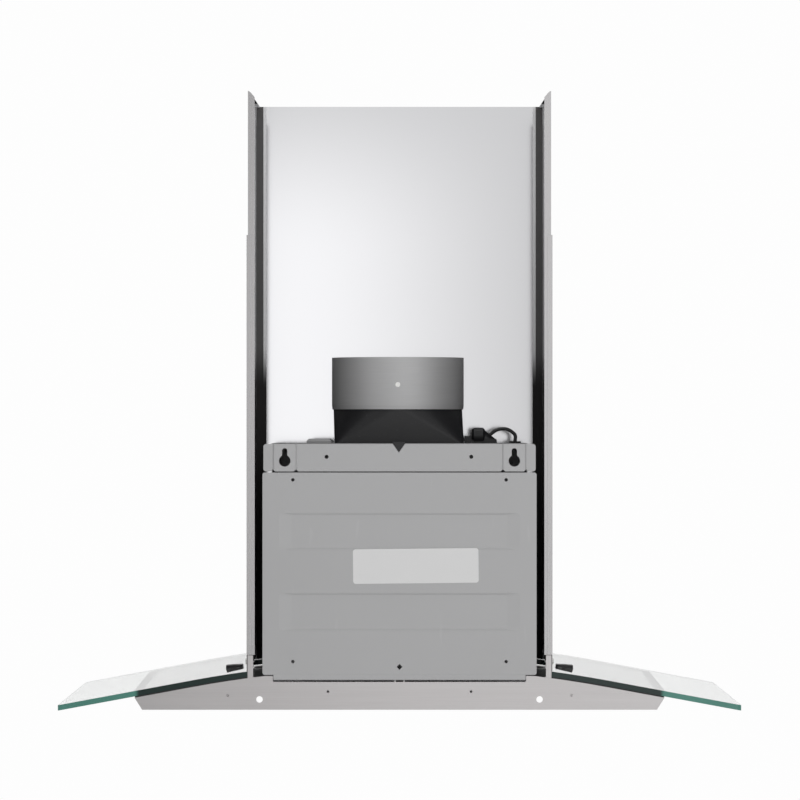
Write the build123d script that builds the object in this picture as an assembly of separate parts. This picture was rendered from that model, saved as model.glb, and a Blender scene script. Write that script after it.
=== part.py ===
from build123d import *
import math
import os

# Wall-mount chimney range hood with a curved glass canopy, in millimetres.
# Y = 0 is the wall and the hood's front faces -Y. Z = 0 is the underside of the canopy body.
# Left and right are those of a person who stands in front of the hood, so left is -X.

# Glass canopy: a crowned middle with straight wings that run on at its tangent
GLASS_HALF = 380.0
GLASS_DEPTH = 500.0
GLASS_T = 6.0
CROWN_Z = 53.9
CROWN_RADIUS = 1264.0
CROWN_HALF = 230.0
WING = math.asin(CROWN_HALF / CROWN_RADIUS)
GASKET_T = 1.4
SKIN_DROP = GLASS_T + GASKET_T

# Canopy body under the glass
SHEET = 0.8
PANEL_T = 1.0
BODY_DEPTH = 470.0
BODY_HALF = 286.0
SIDE_LEAN = 0.633
SIDE_SPLAY = 6.5
REAR_TOP_Z = 37.5
LIP_SLOT_HALF = 140.7
LIP_SLOT_Z = 30.9
WALL_HOLE_X = 155.6
WALL_HOLE_Z = 11.5
WALL_HOLE_R = 3.6
NUT_HOLE_X = 191.0
NUT_HOLE_Z = 16.0
NUT_HOLE_R = 1.8
TRAY_HOLE_X = 79.5
TRAY_HOLE_Z = 20.2
TRAY_HOLE_R = 2.0
TRAY_TAP_R = 1.4

# Chimney covers and the cut-out in the glass that they stand around
LOWER_HALF = 170.0
LOWER_DEPTH = 275.0
LOWER_TOP_Z = 527.6
UPPER_HALF = 168.5
UPPER_DEPTH = 273.5
UPPER_TOP_Z = 687.6
COVER_FOOT_Z = 61.0
CUTOUT_HALF = 169.1
CUTOUT_DEPTH = 274.1
COVER_SCREW_Y = -18.0
COVER_SCREW_Z = 53.0
VENTS = 12
VENT_PITCH = 8.9
VENT_Z = 569.0
VENT_H = 3.6
VENT_Y0 = -90.0
VENT_Y1 = -238.0
TOP_FLANGE_W = 5.0
LOWER_FLANGE_W = 5.7
UPPER_FLANGE_W = 7.5

# Wedge clamps that hold the glass down beside the chimney
CLAMP_X = 188.1
CLAMP_Y = -150.0
CLAMP_HALF = 9.7
CLAMP_TOP_Z = 43.2
CLAMP_TILT = 3.5
CLAMP_SINK = 2.2

# Blower box
BOX_HALF = 142.4
BOX_REAR = -4.4
BOX_FRONT = -258.0
DECK_Z = 33.2
BOX_TOP_Z = 296.0
BACK_HALF = 152.3
BACK_BOTTOM_Z = 38.8
BACK_TOP_Z = 263.6
BACK_Y = -0.6
BACK_T = 1.7
BACK_HOLE_X = 118.5
BACK_HOLES_Z = (53.5, 255.5)
BANDS_Z = ((177.6, 218.7), (87.6, 129.8))
BAND_HALF = 134.0
BAND_DEPTH = 0.9
BAND_SLOPE = 2.4
BAND_END_SLOPE = 14.0
LABEL_X = -18.1
LABEL_Z = 159.8
LABEL_TURN = 0.6

# Electrical pieces on and under the box's top
WIRING_X0 = 78.0
WIRING_X1 = 104.0
WIRING_Y0 = -60.0
WIRING_Y1 = -150.0
WIRING_SCREW_X = 91.0
WIRING_SCREW_Y = -105.0
WIRING_LID_H = 5.0
WIRING_SCREW_HEAD = 1.6
LEAD_Y = -112.0
LEAD_DOWN_X = -130.9
LEAD_R = 2.0
CAPACITOR_X = -BOX_HALF + PANEL_T + 17.5
CAPACITOR_Y = -215.0

# Hanging bracket with its two keyholes
BRACKET_HALF = 151.3
BRACKET_Z0 = 264.8
BRACKET_Z1 = 295.3
KEYHOLE_X = 127.6
KEYHOLE_Z = 276.6
KEYHOLE_R = 6.4
KEYHOLE_SLOT_Z = 287.7
KEYHOLE_SLOT_R = 2.95
NOTCH_X = 0.7
BRACKET_HOLE_X = 80.4
BRACKET_HOLE_Z = 281.1
BRACKET_HOLE_R = 2.2

# Blower: double-inlet volute round a forward-curved wheel on a horizontal shaft
SHAFT_Y = -99.0
SHAFT_Z = 150.0
SHAFT_R = 4.0
SCROLL_HALF = 60.0
SCROLL_T = 1.2
VOLUTE_R = 86.0
VOLUTE_STEP = 10.0
OUTLET_REAR = -82.0
INLET_R = 58.0
WHEEL_R = 76.0
WHEEL_HALF = 50.0
BLADES = 32

# Duct outlet, a little to the right of the hood's middle
DUCT_X = 1.9
DUCT_Y = -140.0
ADAPTER_X = 0.4
ADAPTER_HALF = 72.8
OUTLET_HALF = 67.0
COLLAR_R = 75.0
COLLAR_Z0 = 334.0
COLLAR_Z1 = 393.0
COLLAR_EDGE = 4.6
SIDE_ARC = 2.0
SPIGOT_Z = 370.0
FLAP_PIN_Z = 374.5
FLAP_PIN_R = 1.5
COLLAR_SCREW_Z = 362.0
COLLAR_SCREW_R = 2.7
THIRDS = (0, 120, 240)

# Grease filters, hung from the tray under the canopy
TRAY_Z = 16.0
TRAY_T = 1.0
TRAY_FOOT_Z = 1.0
TRAY_FOOT_Y = -BODY_DEPTH + 2.0
TRAY_FLAT_HALF = 224.0
TRAY_FLAT_Y = -404.0
FILTER_X0 = 6.0
FILTER_X1 = 214.0
FILTER_Y0 = -72.0
FILTER_Y1 = -390.0
FILTER_T = 8.5

# Controls and lamps on the front
BUTTON_X = (-50.0, -25.0, 0.0, 25.0, 50.0)
BUTTON_NAMES = ("light", "power", "low", "medium", "high")
BUTTON_Z = 23.0
BUTTON_R = 7.0
LAMP_X = 200.0
LAMP_Y = -431.0
LAMP_R = 25.0
LAMP_SLOPE = TRAY_Z / (TRAY_FLAT_Y - TRAY_FOOT_Y)

FOOT = (Align.CENTER, Align.CENTER, Align.MIN)


def block(x0, x1, y0, y1, z0, z1):
    """A box between two corners."""
    size = Box(abs(x1 - x0), abs(y1 - y0), abs(z1 - z0))
    return Pos((x0 + x1) / 2, (y0 + y1) / 2, (z0 + z1) / 2) * size


def rod(start, direction, radius, length):
    """A cylinder that runs a length from a point."""
    return Plane(origin=start, z_dir=direction) * Cylinder(radius, length, align=FOOT)


def tube(start, direction, outer, inner, length):
    """A ring with its wall from one point along a direction."""
    return rod(start, direction, outer, length) - rod(start, direction, inner, length)


def pair(piece):
    """A piece and its mirror image across the hood's middle."""
    return [piece, mirror(piece, about=Plane.YZ)]


def slab(outline, y0, y1):
    """A face in the XZ plane, made solid between two depths."""
    return Pos(0, y1, 0) * extrude(outline, amount=abs(y0 - y1), dir=(0, 1, 0))


def crown_z(x, drop=0.0):
    """Height of the glass's top, or of the surface a drop below it."""
    radius = CROWN_RADIUS - drop
    knee = radius * math.sin(WING)
    if abs(x) <= knee:
        return CROWN_Z - CROWN_RADIUS + math.sqrt(radius**2 - x**2)
    return CROWN_Z - CROWN_RADIUS + radius * math.cos(WING) - (abs(x) - knee) * math.tan(WING)


def hump(drop, half, floor, y0, y1):
    """Everything under the crowned surface, down to a floor."""
    knee = (CROWN_RADIUS - drop) * math.sin(WING)
    edge_z = crown_z(half, drop)
    knee_z = crown_z(knee, drop)
    edges = [
        Line((-half, 0, floor), (-half, 0, edge_z)),
        Line((-half, 0, edge_z), (-knee, 0, knee_z)),
        ThreePointArc((-knee, 0, knee_z), (0, 0, crown_z(0, drop)), (knee, 0, knee_z)),
        Line((knee, 0, knee_z), (half, 0, edge_z)),
        Line((half, 0, edge_z), (half, 0, floor)),
        Line((half, 0, floor), (-half, 0, floor)),
    ]
    return slab(make_face(edges), y0, y1)


def body_plan(z, inset):
    """The canopy body's outline at one height; its sides lean out and splay towards the front."""
    rear = BODY_HALF + SIDE_LEAN * z - inset
    front = rear + SIDE_SPLAY
    depth = -BODY_DEPTH + inset
    corners = [(-rear, 1, z), (rear, 1, z), (front, depth, z), (-front, depth, z)]
    return make_face(Polyline(*corners, close=True))


def body_envelope(inset, z0=-1.0, z1=60.0):
    """The space between the canopy body's side and front walls."""
    return loft([body_plan(z0, inset), body_plan(z1, inset)], ruled=True)


def canopy_shell():
    """Front, sides and crowned top in one bent sheet, with a hem round its lower edge."""
    wide = GLASS_HALF
    outside = body_envelope(0) & hump(SKIN_DROP, wide, 0, -PANEL_T, -BODY_DEPTH)
    inside = body_envelope(SHEET) & hump(SKIN_DROP + SHEET, wide, -5, 2, -BODY_DEPTH)
    hem = body_envelope(0) & block(-wide, wide, -PANEL_T, -BODY_DEPTH, 0, SHEET)
    hem -= body_envelope(8) & block(-wide, wide, 2, -BODY_DEPTH, -1, 2)
    shell = outside - inside + hem
    shell -= block(-CUTOUT_HALF, CUTOUT_HALF, 2, -CUTOUT_DEPTH, 20, 80)
    shell -= block(-64, 64, -BODY_DEPTH - 5, -BODY_DEPTH + 5, 14, 32)
    for x in (-CLAMP_X, CLAMP_X):
        shell -= rod((x, CLAMP_Y, 20), (0, 0, 1), 1.8, 30)
    return shell


def canopy_back_panel():
    """Flat rear wall with the slot for the blower box's lip and the wall screw holes."""
    panel = body_envelope(0) & hump(SKIN_DROP, GLASS_HALF, 0, 0, -PANEL_T)
    panel -= block(-BACK_HALF - 8, BACK_HALF + 8, 2, -3, REAR_TOP_Z, 80)
    slot = Rectangle(2 * LIP_SLOT_HALF, 20)
    slot = fillet(slot.vertices(), 1.5)
    slot = Plane.XZ * Pos(0, LIP_SLOT_Z + 10) * slot
    panel -= slab(slot, 2, -3)
    holes = [
        (WALL_HOLE_X, WALL_HOLE_Z, WALL_HOLE_R),
        (NUT_HOLE_X, NUT_HOLE_Z, NUT_HOLE_R),
        (TRAY_HOLE_X, TRAY_HOLE_Z, TRAY_HOLE_R),
    ]
    for x, z, radius in holes:
        for side in (-1, 1):
            panel -= rod((side * x, 2, z), (0, -1, 0), radius, 5)
    return panel


def filter_tray():
    """Pan under the canopy: a raised flat with two filter openings, and a sloping front for the lamps."""
    rear = -PANEL_T - 0.1

    def pan(drop, rear_y):
        low = Rectangle(2 * (BODY_HALF - 4), rear_y - TRAY_FOOT_Y)
        high = Rectangle(2 * TRAY_FLAT_HALF, rear_y - TRAY_FLAT_Y)
        low = Pos(0, (rear_y + TRAY_FOOT_Y) / 2, TRAY_FOOT_Z - drop) * low
        high = Pos(0, (rear_y + TRAY_FLAT_Y) / 2, TRAY_Z + TRAY_T - drop) * high
        return loft([low, high], ruled=True)

    tray = pan(0, rear) - pan(TRAY_T, rear + 1)
    tray += block(-205, 205, rear, rear - 1, TRAY_Z + 0.5, 24)
    for x in (FILTER_X0 - 1.5, -FILTER_X1 - 1.5):
        opening = (x, x + FILTER_X1 - FILTER_X0 + 3)
        tray -= block(*opening, FILTER_Y0 + 1.5, FILTER_Y1 - 2.0, 0, 30)
    for lamp in pair(lamp_axis_rod(LAMP_R - 1.5, -30, 60)):
        tray -= lamp
    for x in (-NUT_HOLE_X, NUT_HOLE_X):
        tray += block(x - 6, x + 6, rear, rear - 9, NUT_HOLE_Z - 4.5, TRAY_Z + 0.5)
        tray -= rod((x, 2, NUT_HOLE_Z), (0, -1, 0), TRAY_TAP_R, 10)
    for x in (-TRAY_HOLE_X, TRAY_HOLE_X):
        tray -= rod((x, 2, TRAY_HOLE_Z), (0, -1, 0), TRAY_TAP_R, 5)
    return tray


def blower_deck():
    """Flat plate that the blower box stands on, with the air opening."""
    deck = block(-175, 175, -1.2, -271, DECK_Z - 1.0, DECK_Z)
    deck -= block(-130, 130, -14, -246, 20, 40)
    deck -= block(-LIP_SLOT_HALF - 4, LIP_SLOT_HALF + 4, 2, -8, 20, 40)
    return deck


def glass_canopy():
    """Toughened glass with a rectangular notch round the chimney and two clamp holes."""
    glass = hump(0, GLASS_HALF, -40, 0, -GLASS_DEPTH)
    glass -= hump(GLASS_T, GLASS_HALF + 5, -60, 5, -GLASS_DEPTH - 5)
    corners = glass.edges().filter_by(Axis.Z)
    glass = fillet(corners, 5.0)
    notch = block(-CUTOUT_HALF, CUTOUT_HALF, 5, -CUTOUT_DEPTH, 0, 80)
    notch = fillet(notch.edges().filter_by(Axis.Z), 4.0)
    glass -= notch
    for x in (-CLAMP_X, CLAMP_X):
        glass -= rod((x, CLAMP_Y, 20), (0, 0, 1), 4.0, 40)
    return glass


def glass_gasket():
    """Black sealing strip between the glass and the rim of the canopy body."""
    strip = body_envelope(1.0) & hump(GLASS_T, GLASS_HALF, -20, 0, -BODY_DEPTH + 1)
    strip -= hump(SKIN_DROP, GLASS_HALF + 5, -40, 5, -BODY_DEPTH - 5)
    middle = body_envelope(13.0) & block(-400, 400, -12, -BODY_DEPTH + 13, -10, 90)
    strip -= middle
    strip -= block(-CUTOUT_HALF, CUTOUT_HALF, 2, -CUTOUT_DEPTH, 0, 80)
    return strip


def glass_clamp(side):
    """Low moulded wedge on the glass, with its screw head sunk in the top."""
    wedge = block(CLAMP_X - CLAMP_HALF, CLAMP_X + CLAMP_HALF, CLAMP_Y - 12, CLAMP_Y + 12, 30, 60)
    wedge = fillet(wedge.edges().filter_by(Axis.Z), 2.5)
    above = Pos(CLAMP_X, CLAMP_Y, CLAMP_TOP_Z) * Rot(0, CLAMP_TILT, 0) * Pos(0, 0, 20) * Box(60, 60, 40)
    wedge -= above
    wedge = chamfer(wedge.faces().sort_by(Axis.Z)[-1].edges(), 0.5)
    wedge -= hump(-0.05, GLASS_HALF, 0, 0, -GLASS_DEPTH)
    wedge -= rod((CLAMP_X, CLAMP_Y, 20), (0, 0, 1), 2.2, 40)
    wedge -= rod((CLAMP_X, CLAMP_Y, CLAMP_TOP_Z - CLAMP_SINK), (0, 0, 1), 4.2, 5)
    return wedge if side > 0 else mirror(wedge, about=Plane.YZ)


def pan_screw(head_at, direction, shank_r, length, head_r, head_h):
    """A screw whose head's seat is at a point and whose shank runs along a direction."""
    away = tuple(-part for part in direction)
    head = rod(head_at, away, head_r, head_h)
    rims = head.edges().filter_by(GeomType.CIRCLE)
    head = fillet(rims.sort_by_distance(head_at)[-1:], head_h * 0.4)
    screw = head + rod(head_at, direction, shank_r, length)
    slot_at = Vector(*head_at) + Vector(*away) * head_h
    for turn in (0, 90):
        bar = Box(head_r * 1.1, head_r * 0.22, head_h * 0.8)
        screw -= Plane(origin=slot_at, z_dir=direction) * Rot(0, 0, turn) * bar
    return screw


def glass_clamp_screws():
    """Screws that pull the two clamps down on the glass."""
    seat = (CLAMP_X, CLAMP_Y, CLAMP_TOP_Z - CLAMP_SINK)
    return Compound(pair(pan_screw(seat, (0, 0, -1), 1.75, 12.5, 3.9, 1.7)))


def chimney_bracket(side):
    """Folded angle on the deck, inside the foot of the chimney cover."""
    outer = CUTOUT_HALF - 0.2
    top = COVER_FOOT_Z - 0.6
    bracket = block(outer - 6.1, outer, -1.4, -2.4, DECK_Z + 0.05, top)
    bracket += block(outer - 1.0, outer, -1.4, -30, DECK_Z + 2.4, top)
    bracket += block(152, outer - 6.1, -1.4, -30, DECK_Z + 0.05, DECK_Z + 1.05)
    bracket += block(outer - 6.2, outer - 1.0, -2.4, -30, DECK_Z + 2.4, DECK_Z + 3.4)
    bracket += block(outer - 7.1, outer - 6.1, -1.4, -30, DECK_Z + 0.05, DECK_Z + 3.4)
    bracket -= rod((0, COVER_SCREW_Y, COVER_SCREW_Z), (1, 0, 0), 1.6, 200)
    return bracket if side > 0 else mirror(bracket, about=Plane.YZ)


def cover_screws():
    """Screws from the sides through the lower cover into the chimney brackets."""
    seat = (LOWER_HALF, COVER_SCREW_Y, COVER_SCREW_Z)
    return Compound(pair(pan_screw(seat, (-1, 0, 0), 1.55, 8, 3.4, 1.6)))


def cover_walls(half, depth, z0, z1, flange_y, flange_w):
    """Three walls of a chimney cover and the two rear flanges that lie along the wall."""
    walls = block(-half, half, flange_y, -depth, z0, z1)
    walls = fillet(walls.edges().filter_by(Axis.Z).sort_by(Axis.Y)[:2], 2.0)
    inner = block(-half + SHEET, half - SHEET, flange_y - SHEET, -depth + SHEET, z0 - 1, z1 + 1)
    inner = fillet(inner.edges().filter_by(Axis.Z).sort_by(Axis.Y)[:2], 1.2)
    walls -= inner
    walls -= block(-half + flange_w, half - flange_w, 5, flange_y - SHEET - 1, z0 - 1, z1 + 1)
    return walls


def lower_chimney_cover():
    """Outer cover: stands on the glass and is cut to its curve."""
    cover = cover_walls(LOWER_HALF, LOWER_DEPTH, 30, LOWER_TOP_Z, -0.05, LOWER_FLANGE_W)
    cover -= hump(-0.3, GLASS_HALF, 0, 5, -GLASS_DEPTH)
    cover -= block(-LOWER_HALF - 1, LOWER_HALF + 1, 2, -1.6, 20, COVER_FOOT_Z)
    cover -= rod((-200, COVER_SCREW_Y, COVER_SCREW_Z), (1, 0, 0), 1.7, 400)
    return cover


def vent_slots():
    """Round-ended slots through both side walls of the upper cover."""
    slot = Plane.YZ * SlotOverall(VENT_Y0 - VENT_Y1, VENT_H)
    cutter = Pos(-250, (VENT_Y0 + VENT_Y1) / 2, 0) * extrude(slot, amount=500, dir=(1, 0, 0))
    return [Pos(0, 0, VENT_Z + row * VENT_PITCH) * cutter for row in range(VENTS)]


def upper_chimney_cover():
    """Inner cover with vent slots and a tapering flange along the top of each side."""
    cover = cover_walls(UPPER_HALF, UPPER_DEPTH, COVER_FOOT_Z, UPPER_TOP_Z, -1.3, UPPER_FLANGE_W)
    for slot in vent_slots():
        cover -= slot
    edge = UPPER_HALF - SHEET
    front = -UPPER_DEPTH + SHEET
    corners = [(edge, -20), (edge, front), (edge - TOP_FLANGE_W, front), (edge - 0.8, -20)]
    flange = extrude(make_face(Polyline(*corners, close=True)), amount=-SHEET)
    for piece in pair(Pos(0, 0, UPPER_TOP_Z) * flange):
        cover += piece
    inner_edge = UPPER_HALF - UPPER_FLANGE_W
    corners = [(inner_edge - 1, -8), (inner_edge - 1, 1), (UPPER_HALF, 1), (inner_edge + 4, -2)]
    mitre = Plane.XZ * make_face(Polyline(*corners, close=True))
    for piece in pair(Pos(0, 0, UPPER_TOP_Z) * slab(mitre, 2, -2.2)):
        cover -= piece
    return cover


def blower_box():
    """Sheet housing of the blower: sides, front and top, with flanges on the deck."""
    box = block(-BOX_HALF, BOX_HALF, BOX_REAR, BOX_FRONT, DECK_Z + 0.05, BOX_TOP_Z)
    inner = BOX_HALF - PANEL_T
    box -= block(-inner, inner, 5, BOX_FRONT + PANEL_T, 0, BOX_TOP_Z - PANEL_T)
    foot = block(-BOX_HALF - 8, BOX_HALF + 8, BOX_REAR, BOX_FRONT - 8, DECK_Z + 0.05, DECK_Z + 1.05)
    foot -= block(-BOX_HALF, BOX_HALF, 5, BOX_FRONT, 0, 60)
    box += foot
    box += block(-112, 112, BOX_REAR, BOX_REAR - PANEL_T, BOX_TOP_Z - 24, BOX_TOP_Z - PANEL_T)
    for x in (NOTCH_X - BRACKET_HOLE_X, NOTCH_X + BRACKET_HOLE_X):
        box -= rod((x, 2, BRACKET_HOLE_Z), (0, -1, 0), BRACKET_HOLE_R + 0.3, 8)
    outlet = Pos(ADAPTER_X, DUCT_Y, BOX_TOP_Z) * Box(2 * OUTLET_HALF, 2 * OUTLET_HALF, 10)
    box -= outlet
    box -= block(WIRING_X0 + 1, WIRING_X1 - 1, WIRING_Y0 - 1, WIRING_Y1 + 1, BOX_TOP_Z - 5, BOX_TOP_Z + 5)
    box -= rod((LEAD_DOWN_X, LEAD_Y, BOX_TOP_Z - 5), (0, 0, 1), 4.5, 10)
    return box


def emboss(z0, z1):
    """A shallow tapered pocket across the back panel."""
    place = Plane.XZ * Pos(0, (z0 + z1) / 2)
    high = z1 - z0
    outer = place * RectangleRounded(2 * BAND_HALF, high, 4)
    inner = place * RectangleRounded(2 * (BAND_HALF - BAND_END_SLOPE), high - 2 * BAND_SLOPE, 3)
    return loft([Pos(0, BACK_Y, 0) * outer, Pos(0, BACK_Y - BAND_DEPTH, 0) * inner], ruled=True)


def box_back_panel():
    """Rear panel of the blower box, with two wide embossed bands and a lip that hooks into the canopy."""
    plate = Plane.XZ * Pos(0, (BACK_BOTTOM_Z + BACK_TOP_Z) / 2)
    plate = plate * RectangleRounded(2 * BACK_HALF, BACK_TOP_Z - BACK_BOTTOM_Z, 2.5)
    panel = slab(plate, BACK_Y, BACK_Y - BACK_T)
    rear, front = -0.15, BACK_Y - BACK_T
    foot, step = DECK_Z + 0.1, BACK_BOTTOM_Z - 0.2
    profile = [(rear, foot), (rear, step), (BACK_Y, step + 1.4), (front, step + 1.4), (front, foot)]
    lip = Plane.YZ * make_face(Polyline(*profile, close=True))
    panel += extrude(lip, amount=LIP_SLOT_HALF - 0.5, both=True)
    for z0, z1 in BANDS_Z:
        panel -= emboss(z0, z1)
    for x in (-BACK_HOLE_X, BACK_HOLE_X):
        for z in BACK_HOLES_Z:
            panel -= rod((x, 2, z), (0, -1, 0), 1.9, 6)
    diamond = Pos(0, 0, 47.6) * Rot(0, 45, 0) * Box(4.6, 10, 4.6)
    panel -= diamond
    return panel


def keyhole(x):
    """Round entry with a narrow slot above it."""
    entry = rod((x, 2, KEYHOLE_Z), (0, -1, 0), KEYHOLE_R, 8)
    slot = rod((x, 2, KEYHOLE_SLOT_Z), (0, -1, 0), KEYHOLE_SLOT_R, 8)
    slot += block(x - KEYHOLE_SLOT_R, x + KEYHOLE_SLOT_R, 2, -6, KEYHOLE_Z, KEYHOLE_SLOT_Z)
    return entry + slot


def hanging_bracket():
    """Joggled plate: the two keyhole pads stand on the wall plane, the rest is set back."""
    back, step, sheet = -1.6, 1.4, 1.4
    ramp = 1.6
    outline = [(0, back), (114, back), (114 + ramp, 0), (141 - ramp, 0), (141, back), (BRACKET_HALF, back)]
    inner = [(x, y - sheet) for x, y in reversed(outline)]
    half = make_face(Polyline(*outline, *inner, close=True))
    plate = Pos(0, 0, BRACKET_Z0) * extrude(half, amount=BRACKET_Z1 - BRACKET_Z0)
    plate += mirror(plate, about=Plane.YZ)
    trim = Plane.XZ * Pos(0, (BRACKET_Z0 + BRACKET_Z1) / 2)
    trim = trim * RectangleRounded(2 * BRACKET_HALF, BRACKET_Z1 - BRACKET_Z0, 3)
    plate &= slab(trim, 2, -8)
    for x in (-KEYHOLE_X, KEYHOLE_X):
        plate -= keyhole(x)
    for x in (-140.8, -115.0, 115.0, 140.8):
        plate -= slab(Plane.XZ * Pos(x, BRACKET_Z0) * Rectangle(3.4, 3.4, rotation=45), 2, -8)
    for x in (NOTCH_X - BRACKET_HOLE_X, NOTCH_X + BRACKET_HOLE_X):
        plate -= rod((x, 2, BRACKET_HOLE_Z), (0, -1, 0), BRACKET_HOLE_R, 8)
    notch = Plane.XZ * make_face(Polyline((-7.5, 1), (7.5, 1), (0, -9.6), close=True))
    plate -= Pos(NOTCH_X, 0, BRACKET_Z1) * slab(notch, 2, -8)
    return plate


def rating_label():
    """Blank sticker on the back panel, set on a hair askew."""
    outline = RectangleRounded(139.5, 38.5, 3.0)
    return Pos(LABEL_X, BACK_Y, LABEL_Z) * Rot(0, LABEL_TURN, 0) * slab(Plane.XZ * outline, 0.12, 0)


def wiring_box():
    """Steel pocket that hangs under the box's top, for the mains connection."""
    z0 = BOX_TOP_Z - 42
    pocket = block(WIRING_X0, WIRING_X1, WIRING_Y0, WIRING_Y1, z0, BOX_TOP_Z - PANEL_T - 0.05)
    pocket -= block(WIRING_X0 + 1, WIRING_X1 - 1, WIRING_Y0 - 1, WIRING_Y1 + 1, z0 + 1, BOX_TOP_Z)
    pocket -= rod((WIRING_X1 - 3, WIRING_SCREW_Y, z0 + 20), (1, 0, 0), 5.0, 6)
    return pocket


def wiring_box_cover():
    """Shallow lid over the wiring pocket, with chamfered outer edges."""
    top = BOX_TOP_Z + WIRING_LID_H
    lid = block(WIRING_X0 - 1.5, WIRING_X1 + 0.4, WIRING_Y0 + 4, WIRING_Y1 - 4, BOX_TOP_Z, top)
    lid = chamfer(lid.faces().sort_by(Axis.Z)[-1].edges(), 2.5)
    lid -= block(WIRING_X0, WIRING_X1 - 0.6, WIRING_Y0 + 2.5, WIRING_Y1 - 2.5, BOX_TOP_Z - 1, BOX_TOP_Z + 2)
    lid -= rod((WIRING_SCREW_X, WIRING_SCREW_Y, BOX_TOP_Z), (0, 0, 1), 2.0, 10)
    lid -= rod((WIRING_SCREW_X, WIRING_SCREW_Y, top - WIRING_SCREW_HEAD - 0.05), (0, 0, 1), 3.6, 5)
    return lid


def wiring_cover_screw():
    """Screw whose head lies flush in the lid's counterbore."""
    seat = (WIRING_SCREW_X, WIRING_SCREW_Y, BOX_TOP_Z + WIRING_LID_H - WIRING_SCREW_HEAD - 0.05)
    return pan_screw(seat, (0, 0, -1), 1.7, 7, 3.4, WIRING_SCREW_HEAD)


def terminal_block():
    """Three-way terminal block with its clamp screws sunk in the top."""
    z0 = BOX_TOP_Z - 40.9
    body = block(84, 98, -85, -125, z0, z0 + 15)
    for y in (WIRING_SCREW_Y + 13, WIRING_SCREW_Y, WIRING_SCREW_Y - 13):
        body -= rod((WIRING_SCREW_X, y, z0 + 8), (0, 0, 1), 2.4, 10)
        body -= rod((80, y, z0 + 5), (1, 0, 0), 2.2, 22)
    return body


def motor_connector():
    """Black cable coupling on the top plate: a ribbed cap, a nut tipped down from it, and its foot."""
    cap = Cylinder(9.0, 15, align=FOOT)
    cap = chamfer(cap.edges().filter_by(GeomType.CIRCLE), 2.4)
    for turn in range(0, 360, 30):
        cap -= Rot(0, 0, turn) * Pos(9.3, 0, 7.5) * Box(1.1, 1.2, 8)
    coupling = Location((-81.9, LEAD_Y, 304.6)) * Location((0, 0, 0), (0, -90, 0)) * cap
    nut = Cylinder(6.8, 15, align=FOOT)
    nut = fillet(nut.edges().filter_by(GeomType.CIRCLE).sort_by(Axis.Z)[-1:], 1.2)
    coupling += Location((-93.0, LEAD_Y, 305.0)) * Location((0, 0, 0), (0, -130, 0)) * nut
    saddle = block(-81.5, -98, LEAD_Y - 6, LEAD_Y + 6, BOX_TOP_Z, BOX_TOP_Z + 4)
    foot = block(-96, -110.2, LEAD_Y - 7, LEAD_Y + 7, BOX_TOP_Z, BOX_TOP_Z + 5)
    foot = fillet(foot.edges().filter_by(Axis.Y).sort_by(Axis.Z)[-2:], 2.0)
    coupling += saddle + foot
    coupling -= block(-70, -120, LEAD_Y - 20, LEAD_Y + 20, BOX_TOP_Z - 20, BOX_TOP_Z + 0.05)
    return coupling


def motor_lead():
    """Short lead from the coupling, over in an arch and down through the grommet."""
    points = [
        Vector(-99.5, LEAD_Y, 303.2),
        Vector(-111.0, LEAD_Y, 312.0),
        Vector(-122.5, LEAD_Y, 312.4),
        Vector(-131.8, LEAD_Y, 305.4),
        Vector(LEAD_DOWN_X, LEAD_Y, BOX_TOP_Z + 2),
        Vector(LEAD_DOWN_X, LEAD_Y, BOX_TOP_Z - 5),
    ]
    path = FilletPolyline(*points, radius=lead_radii(points))
    section = Plane(origin=path @ 0, z_dir=path % 0) * Circle(LEAD_R)
    lead = sweep(section, path=path)
    print("motor lead", round(path.length, 1), "mm long")
    print("volume", round(lead.volume), "section times length", round(math.pi * LEAD_R**2 * path.length))
    return lead - motor_connector()


def lead_radii(points):
    """Radius at each corner: as large as the two runs beside it allow."""
    radii = []
    for before, at, after in zip(points, points[1:], points[2:]):
        turn = math.radians((at - before).get_angle(after - at))
        shorter = min((at - before).length, (after - at).length)
        radii.append(0.45 * shorter / math.tan(turn / 2))
    print("motor lead radii", [round(r, 1) for r in radii])
    return radii


def lead_grommet():
    """Rubber grommet in the box's top where the lead goes in."""
    at = (LEAD_DOWN_X, LEAD_Y, BOX_TOP_Z - 2.5)
    ring = rod(at, (0, 0, 1), 6.5, 4.6) - rod(at, (0, 0, 1), LEAD_R + 0.25, 6)
    groove = (LEAD_DOWN_X, LEAD_Y, BOX_TOP_Z - PANEL_T - 0.1)
    return ring - tube(groove, (0, 0, 1), 8.0, 4.45, PANEL_T + 0.2)


def lead_clip():
    """Small saddle on the top plate that holds the connector's nose."""
    clip = block(-74.0, -81.3, LEAD_Y - 9, LEAD_Y + 9, BOX_TOP_Z + 0.05, BOX_TOP_Z + 8.2)
    return fillet(clip.edges().filter_by(Axis.Y).sort_by(Axis.Z)[-2:], 1.5)


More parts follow.
